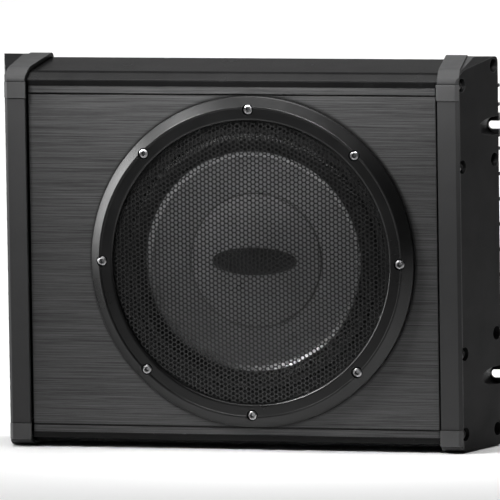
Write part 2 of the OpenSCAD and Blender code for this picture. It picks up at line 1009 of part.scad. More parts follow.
enclosure();
front_panel();
end_cap_left();
end_cap_right();
corner_trim(-1, top_trim_z);  // corner_trim_top_left
corner_trim(1, top_trim_z);  // corner_trim_top_right
corner_trim(-1, bottom_trim_z);  // corner_trim_bottom_left
corner_trim(1, bottom_trim_z);  // corner_trim_bottom_right
mirror([1, 0, 0]) end_gasket();  // end_gasket_left
end_gasket();  // end_gasket_right
mirror([1, 0, 0]) side_screws();  // side_screws_left
side_screws();  // side_screws_right
grille_ring();
grille_mesh();
grille_screws();
woofer_basket();
woofer_gasket();
woofer_screws();
surround();
cone();
dust_cap();
dust_cap_badge();
coil_former();
voice_coil();
spider();
top_plate();
magnet();
back_plate();
woofer_terminals();
tinsel_leads();
amp_board();
board_standoffs();
board_screws();
heat_bar();
power_transistors();
capacitor(40);  // capacitor_upper
capacitor(0);  // capacitor_lower
power_toroid();
damping_foam();
control_plate();
control_plate_screws();
power_led();
fuse_holder();
fuse();
power_terminal_block();
terminal_screws();
speaker_input_socket();
rca_jack(rca_y[0]);  // rca_jack_front
rca_jack(rca_y[1]);  // rca_jack_rear
remote_socket();
phase_switch_body();
phase_switch_lever();
pot(knob_places[0]);  // gain_pot
pot(knob_places[1]);  // crossover_pot
pot(knob_places[2]);  // boost_pot
knob(knob_places[0]);  // gain_knob
knob(knob_places[1]);  // crossover_knob
knob(knob_places[2]);  // boost_knob
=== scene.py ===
"""The looks of a powered car subwoofer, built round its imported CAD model."""
import json
import math

import bmesh
import bpy
import numpy as np
from mathutils import Matrix, Vector

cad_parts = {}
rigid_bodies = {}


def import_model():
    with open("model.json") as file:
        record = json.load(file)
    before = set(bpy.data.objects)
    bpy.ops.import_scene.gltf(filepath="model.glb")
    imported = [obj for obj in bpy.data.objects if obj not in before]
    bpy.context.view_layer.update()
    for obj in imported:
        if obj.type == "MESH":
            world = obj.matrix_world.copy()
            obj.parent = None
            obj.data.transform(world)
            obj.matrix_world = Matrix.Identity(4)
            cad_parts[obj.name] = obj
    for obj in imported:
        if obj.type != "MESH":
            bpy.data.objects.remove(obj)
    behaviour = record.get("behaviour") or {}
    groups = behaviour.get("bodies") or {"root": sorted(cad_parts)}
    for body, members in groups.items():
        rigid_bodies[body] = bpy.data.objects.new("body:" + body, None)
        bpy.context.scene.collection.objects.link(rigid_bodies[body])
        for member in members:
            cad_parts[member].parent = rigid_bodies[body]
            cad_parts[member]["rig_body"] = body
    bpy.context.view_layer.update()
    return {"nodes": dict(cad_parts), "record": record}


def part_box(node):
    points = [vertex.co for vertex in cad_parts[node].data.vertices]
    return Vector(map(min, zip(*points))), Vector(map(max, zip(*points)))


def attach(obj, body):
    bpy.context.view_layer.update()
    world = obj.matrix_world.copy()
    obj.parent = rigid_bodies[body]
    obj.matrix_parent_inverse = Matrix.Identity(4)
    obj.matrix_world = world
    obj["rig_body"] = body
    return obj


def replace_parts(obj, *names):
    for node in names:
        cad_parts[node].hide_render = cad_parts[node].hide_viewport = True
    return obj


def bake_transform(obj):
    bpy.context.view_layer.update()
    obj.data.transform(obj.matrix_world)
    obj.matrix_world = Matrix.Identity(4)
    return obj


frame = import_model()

MM = 0.001

# ---- Places, from the frame -------------------------------------------------------------------

PANEL_LOW, PANEL_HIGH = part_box("front_panel")
RING_LOW, RING_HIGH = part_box("grille_ring")
PANEL_Y = PANEL_LOW.y
FLOOR_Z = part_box("end_cap_right")[0].z
FACE_Z = (PANEL_LOW.z + PANEL_HIGH.z) / 2
RING_X = (RING_LOW.x + RING_HIGH.x) / 2
AXIS = Vector((RING_X, PANEL_Y, FACE_Z))
RING_H = PANEL_Y - RING_LOW.y

CONE_LOW, CONE_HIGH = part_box("cone")

# The cone's radius and the width of the bright lip at its edge, in mm
CONE_R = (CONE_HIGH.x - CONE_LOW.x) / 2 / MM
LIP_WIDTH = 4.4

# Where the raised strip over each end stops and the flared side starts
STRIP_EDGE_X = 167 * MM

# Every screw further out than this holds an end cap
SIDE_SCREWS_X = 140 * MM

HOUSING = "housing"
CONE_BODY = "cone_assembly"


def body_of_node(node):
    """The body that a CAD node rides on."""
    return frame["nodes"][node]["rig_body"]


# ---- Shader helpers ---------------------------------------------------------------------------


class Shader:
    """A Principled material with the few node chains that the finishes here share."""

    def __init__(self, name, color, roughness, metallic=0.0, scale=(1, 1, 1), **sockets):
        self.material = bpy.data.materials.new(name)
        self.material.use_nodes = True
        self.nodes = self.material.node_tree.nodes
        self.links = self.material.node_tree.links
        self.surface = self.nodes["Principled BSDF"]
        self.set("Base Color", (*color, 1))
        self.set("Roughness", roughness)
        self.set("Metallic", metallic)
        for socket, value in sockets.items():
            self.set(socket.replace("_", " "), value)
        self.color = color
        self.roughness = roughness
        place = self.nodes.new("ShaderNodeTexCoord")
        self.stretch = self.nodes.new("ShaderNodeMapping")
        self.stretch.inputs["Scale"].default_value = scale
        self.links.new(place.outputs["Object"], self.stretch.inputs["Vector"])
        self.place = place.outputs["Object"]
        self.height = None

    def set(self, socket, value):
        self.surface.inputs[socket].default_value = value

    def noise(self, scale, detail=3.0, rough=0.55, stretched=True):
        node = self.nodes.new("ShaderNodeTexNoise")
        node.inputs["Scale"].default_value = scale
        node.inputs["Detail"].default_value = detail
        node.inputs["Roughness"].default_value = rough
        source = self.stretch.outputs["Vector"] if stretched else self.place
        self.links.new(source, node.inputs["Vector"])
        return node.outputs["Fac"]

    def remap(self, value, low, high, to_low, to_high):
        node = self.nodes.new("ShaderNodeMapRange")
        node.inputs["From Min"].default_value = low
        node.inputs["From Max"].default_value = high
        node.inputs["To Min"].default_value = to_low
        node.inputs["To Max"].default_value = to_high
        self.links.new(value, node.inputs["Value"])
        return node.outputs["Result"]

    def tint(self, value, low, high):
        """Colour runs from low to high as value goes from 0 to 1."""
        node = self.nodes.new("ShaderNodeMix")
        node.data_type = "RGBA"
        node.inputs["A"].default_value = (*low, 1)
        node.inputs["B"].default_value = (*high, 1)
        self.links.new(value, node.inputs["Factor"])
        return node.outputs["Result"]

    def mix_color(self, value, first, second):
        node = self.nodes.new("ShaderNodeMix")
        node.data_type = "RGBA"
        self.links.new(value, node.inputs["Factor"])
        self.links.new(first, node.inputs["A"])
        self.links.new(second, node.inputs["B"])
        return node.outputs["Result"]

    def to(self, value, socket):
        self.links.new(value, self.surface.inputs[socket])

    def bump(self, value, strength, distance):
        node = self.nodes.new("ShaderNodeBump")
        node.inputs["Strength"].default_value = strength
        node.inputs["Distance"].default_value = distance
        self.links.new(value, node.inputs["Height"])
        if self.height:
            self.links.new(self.height, node.inputs["Normal"])
        self.height = node.outputs["Normal"]
        self.to(self.height, "Normal")

    def vary(self, scale, color_share=0.12, rough_share=0.12, detail=3.0):
        """Slow variation of colour and roughness over the surface."""
        fac = self.noise(scale, detail, stretched=False)
        low, high = scaled(self.color, 1 - color_share), scaled(self.color, 1 + color_share)
        tinted = self.tint(self.remap(fac, 0.3, 0.7, 0, 1), low, high)
        self.to(tinted, "Base Color")
        spread = self.roughness * rough_share
        self.to(self.remap(fac, 0.3, 0.7, self.roughness - spread, self.roughness + spread), "Roughness")
        return tinted

    def worn_edges(self, base, worn, radius=0.0006):
        """Lighter colour where the surface turns a sharp corner."""
        rounded = self.nodes.new("ShaderNodeBevel")
        rounded.samples = 4
        rounded.inputs["Radius"].default_value = radius
        true = self.nodes.new("ShaderNodeNewGeometry")
        dot = self.nodes.new("ShaderNodeVectorMath")
        dot.operation = "DOT_PRODUCT"
        self.links.new(rounded.outputs["Normal"], dot.inputs[0])
        self.links.new(true.outputs["Normal"], dot.inputs[1])
        edge = self.remap(dot.outputs["Value"], 0.995, 0.86, 0, 1)
        worn_node = self.nodes.new("ShaderNodeRGB")
        worn_node.outputs[0].default_value = (*worn, 1)
        return self.mix_color(edge, base, worn_node.outputs[0])

    def within(self, edge):
        """One between the two planes x = -edge and x = edge, and zero outside them."""
        split = self.nodes.new("ShaderNodeSeparateXYZ")
        self.links.new(self.place, split.inputs[0])
        far = self.nodes.new("ShaderNodeMath")
        far.operation = "ABSOLUTE"
        self.links.new(split.outputs["X"], far.inputs[0])
        return self.remap(far.outputs[0], edge - 0.3 * MM, edge + 0.1 * MM, 1, 0)

    def painted_crevice_shade(self, base, reach=0.003):
        """Painted shade: colour that falls to nearly black down in grooves, along seams and in corners,
        wherever an ambient occlusion node finds the surface hemmed in within reach.
        """
        openness = self.nodes.new("ShaderNodeAmbientOcclusion")
        openness.samples = 6
        openness.inputs["Distance"].default_value = reach
        black = self.nodes.new("ShaderNodeRGB")
        black.outputs[0].default_value = (0.001, 0.001, 0.001, 1)
        share = self.remap(openness.outputs["AO"], 0.6, 0.95, 0, 1)
        self.to(self.mix_color(share, black.outputs[0], base), "Base Color")


# Noise scale of a fine grain, and its height in metres
FINE_GRAIN = 2600
FINE_DEPTH = 0.00006


def scaled(color, share):
    """The colour times share, no brighter than white."""
    return tuple(min(1.0, c * share) for c in color)


def brushed_panel():
    """Dark anodised sheet, brushed from side to side."""
    darkest = (0.01, 0.01, 0.0102)
    lightest = (0.125, 0.125, 0.126)
    s = Shader("brushed_panel", (0.05, 0.05, 0.051), 0.42, 0.5, scale=(3, 1, 520))
    lines = s.noise(5.0, 8.0, 0.8)
    # Painted shade: the brushed streaks fall to nearly black in the grooves and along the panel's edges.
    s.painted_crevice_shade(s.tint(s.remap(lines, 0.36, 0.68, 0, 1), darkest, lightest))
    s.to(s.remap(lines, 0.25, 0.75, 0.38, 0.52), "Roughness")
    s.bump(lines, 0.2, 0.00012)
    return s.material


def satin_coat(name, color, roughness, shine=0.5):
    """Satin paint or plastic with a fine grain, lighter on its edges."""
    s = Shader(name, color, roughness, Specular_IOR_Level=shine)
    tinted = s.vary(35)
    s.bump(s.noise(FINE_GRAIN, 2.0, stretched=False), 0.3, FINE_DEPTH)
    # Painted shade: the grained colour falls to nearly black in seams and recesses.
    s.painted_crevice_shade(s.worn_edges(tinted, tuple(min(1.0, c * 1.9 + 0.01) for c in color)))
    return s.material


def cap_lit_strip_shaded_sides():
    """Cap plastic, with painted light and shade: lighter on the raised strip over the end and dark on
    the flared sides.
    """
    side = (0.006, 0.006, 0.0062)
    strip = (0.044, 0.044, 0.0445)
    worn = (0.05, 0.05, 0.0505)
    s = Shader("cap_plastic", side, 0.45, Specular_IOR_Level=0.07)
    # Painted light and shade: colour chosen by position, lighter on the strip and dark on the flared
    # sides, standing in for light on the one and shade on the other.
    on_strip = s.within(STRIP_EDGE_X)
    lighter = s.tint(s.noise(45, stretched=False), scaled(strip, 0.9), scaled(strip, 1.1))
    shaded_side_tone = s.tint(s.noise(45, stretched=False), scaled(side, 0.8), scaled(side, 1.2))
    s.to(s.remap(s.noise(60, stretched=False), 0.3, 0.7, 0.4, 0.5), "Roughness")
    s.bump(s.noise(FINE_GRAIN, 2.0, stretched=False), 0.3, FINE_DEPTH)
    # Painted shade: the cap's colour also falls to nearly black in its seams and screw wells.
    s.painted_crevice_shade(s.worn_edges(s.mix_color(on_strip, shaded_side_tone, lighter), worn))
    return s.material


def screw_finish():
    """Bright plating on the screws of the face, blackened steel on the ones in the end caps."""
    s = Shader("screw_steel", (0.4, 0.4, 0.405), 0.34, 1.0, scale=(1, 12, 1))
    bright = s.vary(120, 0.06, 0.25)
    black = s.tint(s.noise(90, stretched=False), (0.05, 0.05, 0.05), (0.09, 0.09, 0.09))
    # Painted shade: colour falls to nearly black in the hex recess and where the head meets its seat.
    s.painted_crevice_shade(s.mix_color(s.within(SIDE_SCREWS_X), black, bright), 0.0012)
    s.bump(s.noise(900, 4.0), 0.15, 0.00005)
    return s.material


def moulded(name, color, roughness, grain=1500, depth=0.00008, **sockets):
    """Moulded plastic, rubber, or anything else with an even grain."""
    s = Shader(name, color, roughness, **sockets)
    s.vary(60, 0.1, 0.1)
    s.bump(s.noise(grain, 3.0, stretched=False), 0.35, depth)
    return s.material


def cone_finish():
    """Satin grey with a bright metallic lip at the cone's edge. The dust cap shares the grey."""
    grey = (0.24, 0.24, 0.244)
    s = Shader("cone_plastic", grey, 0.36, scale=(1, 0, 1))
    tinted = s.vary(60, 0.1, 0.1)
    s.bump(s.noise(500, 3.0, stretched=False), 0.35, 0.0002)
    far = s.nodes.new("ShaderNodeVectorMath")
    far.operation = "DISTANCE"
    s.links.new(s.stretch.outputs["Vector"], far.inputs[0])
    far.inputs[1].default_value = (AXIS.x, 0, AXIS.z)
    lip_from = (CONE_R - LIP_WIDTH) * MM
    soft_edge = 0.2 * MM
    lip = s.remap(far.outputs["Value"], lip_from - soft_edge, lip_from + soft_edge, 0, 1)
    bright = s.nodes.new("ShaderNodeRGB")
    bright.outputs[0].default_value = (0.6, 0.6, 0.61, 1)
    # Painted shade: the grey and the lip fall to nearly black where the cone meets the surround and the
    # dust cap.
    s.painted_crevice_shade(s.mix_color(lip, tinted, bright.outputs[0]))
    s.to(s.remap(lip, 0, 1, 0, 0.9), "Metallic")
    s.to(s.remap(lip, 0, 1, 0.36, 0.33), "Roughness")
    return s.material


def plated(name, color, roughness):
    """Bare or plated metal with faint turning marks."""
    s = Shader(name, color, roughness, 1.0, scale=(1, 12, 1))
    s.vary(120, 0.06, 0.25)
    s.bump(s.noise(900, 4.0), 0.15, 0.00005)
    return s.material


def soft(name, color, roughness, weave=1800, depth=0.0002):
    """Cloth or foam."""
    s = Shader(name, color, roughness, Sheen_Weight=0.25)
    s.vary(90, 0.15, 0.05)
    s.bump(s.noise(weave, 2.0, stretched=False), 0.6, depth)
    return s.material


FINISHES = {
    "enclosure_paint": satin_coat("enclosure_paint", (0.0055, 0.0055, 0.0056), 0.25, 0.1),
    "brushed_panel": brushed_panel(),
    "cap_plastic": cap_lit_strip_shaded_sides(),
    "trim_plastic": satin_coat("trim_plastic", (0.06, 0.06, 0.0605), 0.4, 0.2),
    "gasket_rubber": moulded("gasket_rubber", (0.01, 0.01, 0.01), 0.8),
    "ring_metal": satin_coat("ring_metal", (0.004, 0.004, 0.0041), 0.3, 0.4),
    "mesh_steel": moulded("mesh_steel", (0.009, 0.009, 0.009), 0.3),
    "screw_steel": screw_finish(),
    "basket_steel": moulded("basket_steel", (0.03, 0.03, 0.03), 0.5),
    "surround_rubber": moulded("surround_rubber", (0.01, 0.01, 0.0103), 0.5, 700, 0.0001),
    "cone_plastic": cone_finish(),
    "badge_plastic": moulded("badge_plastic", (0.02, 0.02, 0.021), 0.3),
    "former_film": moulded("former_film", (0.5, 0.3, 0.12), 0.35),
    "coil_copper": plated("coil_copper", (0.72, 0.36, 0.2), 0.3),
    "spider_cloth": soft("spider_cloth", (0.5, 0.34, 0.12), 0.85),
    "plated_steel": plated("plated_steel", (0.6, 0.6, 0.6), 0.3),
    "ferrite": moulded("ferrite", (0.06, 0.06, 0.062), 0.7, 400, 0.0003),
    "brown_board": moulded("brown_board", (0.22, 0.11, 0.05), 0.5),
    "circuit_board": moulded("circuit_board", (0.015, 0.13, 0.045), 0.35, 300, 0.0001),
    "brass_post": plated("brass_post", (0.8, 0.6, 0.26), 0.25),
    "heat_aluminium": plated("heat_aluminium", (0.7, 0.7, 0.72), 0.35),
    "black_plastic": moulded("black_plastic", (0.02, 0.02, 0.02), 0.45),
    "capacitor_sleeve": moulded("capacitor_sleeve", (0.02, 0.03, 0.12), 0.25),
    "toroid_winding": plated("toroid_winding", (0.6, 0.28, 0.12), 0.3),
    "acoustic_foam": soft("acoustic_foam", (0.07, 0.07, 0.08), 0.95, 900, 0.001),
    "control_plate_paint": satin_coat("control_plate_paint", (0.04, 0.04, 0.04), 0.45),
    "led_lens": moulded("led_lens", (0.55, 0.02, 0.02), 0.15, Transmission_Weight=0.4),
    "fuse_plastic": moulded("fuse_plastic", (0.8, 0.25, 0.03), 0.2, Transmission_Weight=0.3),
    "white_plastic": moulded("white_plastic", (0.75, 0.74, 0.68), 0.4),
    "jack_plating": plated("jack_plating", (0.85, 0.65, 0.3), 0.2),
    "pot_metal": plated("pot_metal", (0.55, 0.55, 0.56), 0.3),
}
SLOT_OF = {part["node"]: part["material_slot"] for part in frame["record"]["subparts"]}

# ---- Mesh helpers -----------------------------------------------------------------------------


# Corners of the CAD meshes closer than this are one corner
MERGE = 2e-6


def mesh_from(name, bm):
    """The mesh that bm holds. bm is freed."""
    mesh = bpy.data.meshes.new(name)
    bm.to_mesh(mesh)
    bm.free()
    return mesh


def link_object(name, data):
    """A new object in the scene that shows the mesh, light or camera given."""
    linked = bpy.data.objects.new(name, data)
    bpy.context.scene.collection.objects.link(linked)
    return linked


def cad_bmesh(node):
    """A CAD node's shape with its corners joined."""
    bm = bmesh.new()
    bm.from_mesh(frame["nodes"][node].data)
    bmesh.ops.remove_doubles(bm, verts=bm.verts, dist=MERGE)
    return bm


def add_object(name, mesh, slot):
    """A new piece with the slot's finish."""
    piece = link_object(name, mesh)
    mesh.materials.clear()
    mesh.materials.append(FINISHES[slot])
    return piece


def place(piece, body, slot, *nodes):
    """Rides a finished piece on its body, in place of the CAD nodes given."""
    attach(piece, body)
    if nodes:
        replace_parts(piece, *nodes)
    return piece


def mark_smooth(bm, smooth_deg):
    """Smooth faces, with sharp edges wherever the surface turns by more than smooth_deg."""
    limit = math.radians(smooth_deg)
    for face in bm.faces:
        face.smooth = True
    for edge in bm.edges:
        edge.smooth = len(edge.link_faces) == 2 and edge.calc_face_angle(math.pi) < limit


def from_bmesh(name, bm, slot, smooth_deg=35):
    """A new piece from bm, smooth except across edges sharper than smooth_deg."""
    bmesh.ops.recalc_face_normals(bm, faces=bm.faces)
    mark_smooth(bm, smooth_deg)
    return add_object(name, mesh_from(name, bm), slot)


def apply_modifiers(piece):
    """Makes what the modifiers do part of the piece's own mesh."""
    depsgraph = bpy.context.evaluated_depsgraph_get()
    mesh = bpy.data.meshes.new_from_object(piece.evaluated_get(depsgraph))
    piece.modifiers.clear()
    piece.data = mesh
    return piece


def bevelled(piece, width):
    """Rounds the piece's sharp edges."""
    mod = piece.modifiers.new("edge", "BEVEL")
    mod.width = width
    mod.segments = 2
    mod.limit_method = "ANGLE"
    mod.angle_limit = math.radians(32)
    mod.harden_normals = False
    mod.miter_outer = "MITER_ARC"
    return apply_modifiers(piece)


def lathe_bmesh(profile, steps=192):
    """A closed ring round the woofer's axis, from [(radius, height forwards)] in mm."""
    bm = bmesh.new()
    rings = []
    for radius, height in profile:
        y = AXIS.y - height * MM
        if radius == 0:
            rings.append([bm.verts.new((AXIS.x, y, AXIS.z))])
            continue
        ring = []
        for k in range(steps):
            a = math.tau * k / steps
            x, z = radius * MM * math.cos(a), radius * MM * math.sin(a)
            ring.append(bm.verts.new((AXIS.x + x, y, AXIS.z + z)))
        rings.append(ring)
    for first, second in zip(rings, rings[1:] + rings[:1]):
        if len(first) == 1 and len(second) == 1:
            continue
        for k in range(steps):
            corners = [first[k % len(first)], first[(k + 1) % len(first)],
                       second[(k + 1) % len(second)], second[k % len(second)]]
            bm.faces.new(list(dict.fromkeys(corners)))
    return bm


def refined(node, width):
    """The CAD node's shape with its flat faces made whole and its edges rounded."""
    bm = cad_bmesh(node)
    flat = math.radians(0.6)
    bmesh.ops.dissolve_limit(
        bm, angle_limit=flat, verts=bm.verts, edges=bm.edges, use_dissolve_boundaries=False
    )
    slot = SLOT_OF[node]
    piece = from_bmesh(node + "_finished", bm, slot)
    bevelled(piece, width)
    shade(piece)
    return place(piece, body_of_node(node), slot, node)


def shade(piece, smooth_deg=35):
    """Smooth shading that weighs normals by face size, so flats stay flat beside rounds."""
    bm = bmesh.new()
    bm.from_mesh(piece.data)
    mark_smooth(bm, smooth_deg)
    bm.to_mesh(piece.data)
    bm.free()
    mod = piece.modifiers.new("normals", "WEIGHTED_NORMAL")
    mod.keep_sharp = True
    return piece


# ---- Grille -----------------------------------------------------------------------------------


# Turns +Z to point forwards, out of the front panel
FORWARDS = Matrix.Rotation(math.radians(90), 4, "X")


def arc(centre, radius, start, end, steps):
    """Points in mm along an arc, angles in degrees."""
    angles = [math.radians(start + (end - start) * k / steps) for k in range(steps + 1)]
    return [(centre[0] + radius * math.cos(a), centre[1] + radius * math.sin(a)) for a in angles]


# Radii and heights of the grille ring and the mesh, in mm
RING_OUTER = (RING_HIGH.x - RING_LOW.x) / 2 / MM
RING_INNER = 101.5
SCREW_CIRCLE = 109.3
SCREW_SEAT = RING_H / MM - 3
MESH_SHEET = 0.7

# How far the cone moves each way, in mm
TRAVEL = 6.0


def cutter(name, x, z, radius, low, high):
    """A cylinder along the woofer's axis, to be cut from another piece. Sizes are in mm."""
    bm = bmesh.new()
    wide, deep = radius * MM, (high - low) * MM
    bmesh.ops.create_cone(bm, cap_ends=True, segments=48, radius1=wide, radius2=wide, depth=deep)
    shift = Matrix.Translation((AXIS.x + x * MM, AXIS.y - (high + low) / 2 * MM, AXIS.z + z * MM))
    bmesh.ops.transform(bm, matrix=shift @ FORWARDS, verts=bm.verts)
    return link_object(name, mesh_from(name, bm))


def cut(piece, tools):
    """Cuts each tool from the piece and deletes the tools."""
    for tool in tools:
        mod = piece.modifiers.new("cut", "BOOLEAN")
        mod.object = tool
        mod.solver = "EXACT"
    apply_modifiers(piece)
    for tool in tools:
        bpy.data.objects.remove(tool)
    return piece


def grille_screw_places():
    """Where the eight screws are round the woofer's axis, as (x, z) in mm."""
    for k in range(8):
        a = math.radians(45 * k)
        yield SCREW_CIRCLE * math.cos(a), SCREW_CIRCLE * math.sin(a)


def make_ring():
    """A chamfered ring with a flat, slightly sunk land for its screws."""
    top = RING_H / MM
    land = top - 0.6
    edge_r = 1.2
    lip_r = 2.0
    side_h = 3.2
    land_in, land_out, face_in = RING_INNER + 2.2, RING_INNER + 8.3, RING_INNER + 9.5
    rebate_r, rebate_h = 104.4, 6.25
    counterbore_r = 4.15
    smooth_deg = 28
    profile = [(RING_OUTER, 0.0)]
    profile += arc((RING_OUTER - edge_r, side_h), edge_r, 0, 55, 5)
    profile += arc((face_in, top - edge_r), edge_r, 58, 100, 5)
    profile += [(RING_INNER + 8.6, top - 0.25), (land_out, land), (land_in, land)]
    profile += arc((RING_INNER + lip_r, land - lip_r), lip_r, 95, 180, 6)
    profile += [(RING_INNER, rebate_h), (rebate_r, rebate_h), (rebate_r, 0.0)]
    piece = from_bmesh("grille_ring_turned", lathe_bmesh(profile, 288), "ring_metal", smooth_deg)
    cut(piece, [
        cutter(f"counterbore_{k}", x, z, counterbore_r, SCREW_SEAT, top + 3)
        for k, (x, z) in enumerate(grille_screw_places())
    ])
    shade(piece, smooth_deg)
    return place(piece, HOUSING, "ring_metal", "grille_ring")


def dome_height(radius, half, base, rise):
    """Height at a radius of a round dome that is 2 * half across, all in mm."""
    ball = (half * half + rise * rise) / (2 * rise)
    return base + rise - ball + math.sqrt(ball * ball - radius * radius)


def mesh_height(radius):
    """Height in mm of the domed mesh's front over the panel."""
    rim, rise, half = 6.15, 2.55, 101.0
    return rim if radius > half else dome_height(radius, half, rim, rise)


def make_mesh():
    """A sheet of small six-sided holes, domed and given its thickness."""
    pitch = 3.3
    hole = 1.42
    corner = pitch / math.sqrt(3)
    limit = 101.9
    bm = bmesh.new()
    known = {}

    def vert(x, z):
        key = (round(x, 3), round(z, 3))
        if key not in known:
            y = AXIS.y - mesh_height(math.hypot(x, z)) * MM
            known[key] = bm.verts.new((AXIS.x + x * MM, y, AXIS.z + z * MM))
        return known[key]

    turns = [math.radians(60 * k) for k in range(6)]
    columns = math.ceil(limit / (corner * 1.5))
    rows = math.ceil(limit / pitch) + 1
    for i in range(-columns, columns + 1):
        for j in range(-rows, rows + 1):
            x = i * corner * 1.5
            z = (j + (i % 2) / 2) * pitch
            if math.hypot(x, z) > limit:
                continue
            outer = [vert(x + corner * math.cos(a), z + corner * math.sin(a)) for a in turns]
            inner = [vert(x + hole * math.cos(a), z + hole * math.sin(a)) for a in turns]
            for k in range(6):
                n = (k + 1) % 6
                bm.faces.new((outer[k], outer[n], inner[n], inner[k]))
    for face in bm.faces:
        if face.normal.y > 0:
            face.normal_flip()
    bm.normal_update()
    name = "grille_mesh_punched"
    piece = add_object(name, mesh_from(name, bm), "mesh_steel")
    mod = piece.modifiers.new("sheet", "SOLIDIFY")
    mod.thickness = MESH_SHEET * MM
    mod.offset = -1
    mod.use_even_offset = False
    apply_modifiers(piece)
    return place(piece, HOUSING, "mesh_steel", "grille_mesh")


# ---- Screws -----------------------------------------------------------------------------------


def screw_bmesh(head_r, head_h, key_r, shank_r, length, steps=32):
    """A button-head screw along +Z with its seat at zero, in metres, with a six-sided recess."""
    bm = bmesh.new()
    straight, domed = 0.3, 0.7
    dome = [(head_r, head_h * straight)] + [
        (head_r * math.cos(a), head_h * (straight + domed * math.sin(a)))
        for a in (math.radians(12 * k) for k in range(1, 6))
    ]
    rim_r = key_r * 1.2
    side = [(shank_r, -length), (shank_r, 0.0), (head_r, 0.0)] + dome + [(rim_r, head_h)]

    def ring(radius, z):
        turns = [math.tau * k / steps for k in range(steps)]
        return [bm.verts.new((radius * math.cos(a), radius * math.sin(a), z)) for a in turns]

    def hexagon(z):
        """The recess as a ring of as many points, pulled onto six flats."""
        points = []
        for k in range(steps):
            a = math.tau * k / steps
            off = (a % (math.pi / 3)) - math.pi / 6
            r = key_r * math.cos(math.pi / 6) / math.cos(off)
            points.append(bm.verts.new((r * math.cos(a), r * math.sin(a), z)))
        return points

    rings = [ring(r, z) for r, z in side] + [hexagon(head_h * 0.96), hexagon(head_h * 0.1)]
    for low, high in zip(rings, rings[1:]):
        for k in range(steps):
            n = (k + 1) % steps
            bm.faces.new((low[k], low[n], high[n], high[k]))
    bm.faces.new(list(reversed(rings[0])))
    bm.faces.new(rings[-1])
    return bm


def screw_set(name, places, turn, size, node):
    """Screws of one size as one piece. Each place is the seat's centre and turn points +Z out."""
    first_deg, step_deg = 17, 47
    bm = bmesh.new()
    for k, spot in enumerate(places):
        part = screw_bmesh(*size)
        twist = Matrix.Rotation(math.radians(first_deg + step_deg * k), 4, "Z")
        bmesh.ops.transform(part, matrix=Matrix.Translation(spot) @ turn @ twist, verts=part.verts)
        mesh = mesh_from("screw", part)
        bm.from_mesh(mesh)
        bpy.data.meshes.remove(mesh)
    piece = from_bmesh(name, bm, "screw_steel", 30)
    return place(piece, body_of_node(node), "screw_steel", node)


# Head radius, head height, recess radius, shank radius and length of the two kinds of screw
M4_BUTTON = (3.75 * MM, 2.5 * MM, 1.8 * MM, 2 * MM, 11.8 * MM)
M4_CAP = (3.75 * MM, 2.4 * MM, 1.5 * MM, 2 * MM, 19.8 * MM)


def make_grille_screws():
    """The eight button-head screws that hold the ring."""
    seat = Vector((0, -SCREW_SEAT * MM, 0))
    spots = [AXIS + seat + Vector((x * MM, 0, z * MM)) for x, z in grille_screw_places()]
    return screw_set("grille_screws_finished", spots, FORWARDS, M4_BUTTON, "grille_screws")


def islands(node):
    """Lowest and highest corners of each separate solid in a CAD node."""
    bm = cad_bmesh(node)
    left = set(bm.verts)
    found = []
    while left:
        stack = [left.pop()]
        seen = list(stack)
        while stack:
            for edge in stack.pop().link_edges:
                for v in edge.verts:
                    if v in left:
                        left.remove(v)
                        stack.append(v)
                        seen.append(v)
        co = np.array([v.co for v in seen])
        found.append((Vector(co.min(0)), Vector(co.max(0))))
    bm.free()
    return sorted(found, key=lambda box: tuple(round(x, 6) for x in box[0]))


def make_side_screws(node, side):
    """The screws down in the wells of one end cap, seated where the CAD has them."""
    head_h = M4_CAP[1]
    turn = Matrix.Rotation(math.radians(90 * side), 4, "Y")
    spots = []
    for low, high in islands(node):
        outer = high.x if side > 0 else low.x
        spots.append(Vector((outer - side * head_h, (low.y + high.y) / 2, (low.z + high.z) / 2)))
    return screw_set(node + "_finished", spots, turn, M4_CAP, node)


# ---- Woofer -----------------------------------------------------------------------------------

DUST_LOW, DUST_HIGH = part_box("dust_cap")
CONE_LIP_H = (PANEL_Y - CONE_LOW.y) / MM
CONE_NECK_H = (PANEL_Y - CONE_HIGH.y) / MM
NECK_R = 19.2
DUST_R = (DUST_HIGH.x - DUST_LOW.x) / 2 / MM
DUST_TOP_H = (PANEL_Y - DUST_LOW.y) / MM
DUST_BASE_H = (PANEL_Y - DUST_HIGH.y) / MM + 0.7


def make_cone():
    """A shallow curved cone with a steeper lip."""
    lip_in = CONE_R - 0.8
    slope_r = CONE_R - LIP_WIDTH
    slope_from = CONE_LIP_H - 2.5
    neck = CONE_NECK_H + 0.8
    paper = 0.75
    bulge = 0.7
    steps = 30
    front = [(CONE_R, CONE_LIP_H), (lip_in + 0.3, CONE_LIP_H), (lip_in, CONE_LIP_H - 0.15)]
    for k in range(steps + 1):
        t = k / steps
        radius = slope_r + (NECK_R - slope_r) * t
        front.append((radius, slope_from + (neck - slope_from) * t + bulge * math.sin(math.pi * t)))
    back = [(r, h - paper) for r, h in reversed(front)]
    piece = from_bmesh("cone_finished", lathe_bmesh(front + back), "cone_plastic", 50)
    return place(piece, CONE_BODY, "cone_plastic", "cone")


def make_dust_cap():
    """A thin round dome over the middle of the cone."""
    steps = 22
    shell = 0.65
    rise = DUST_TOP_H - DUST_BASE_H
    front = [(DUST_R * k / steps, dome_height(DUST_R * k / steps, DUST_R, DUST_BASE_H, rise))
             for k in range(steps + 1)]
    back = [(r, h - shell) for r, h in reversed(front)]
    piece = from_bmesh("dust_cap_finished", lathe_bmesh(front + back), "cone_plastic", 60)
    return place(piece, CONE_BODY, "cone_plastic", "dust_cap")


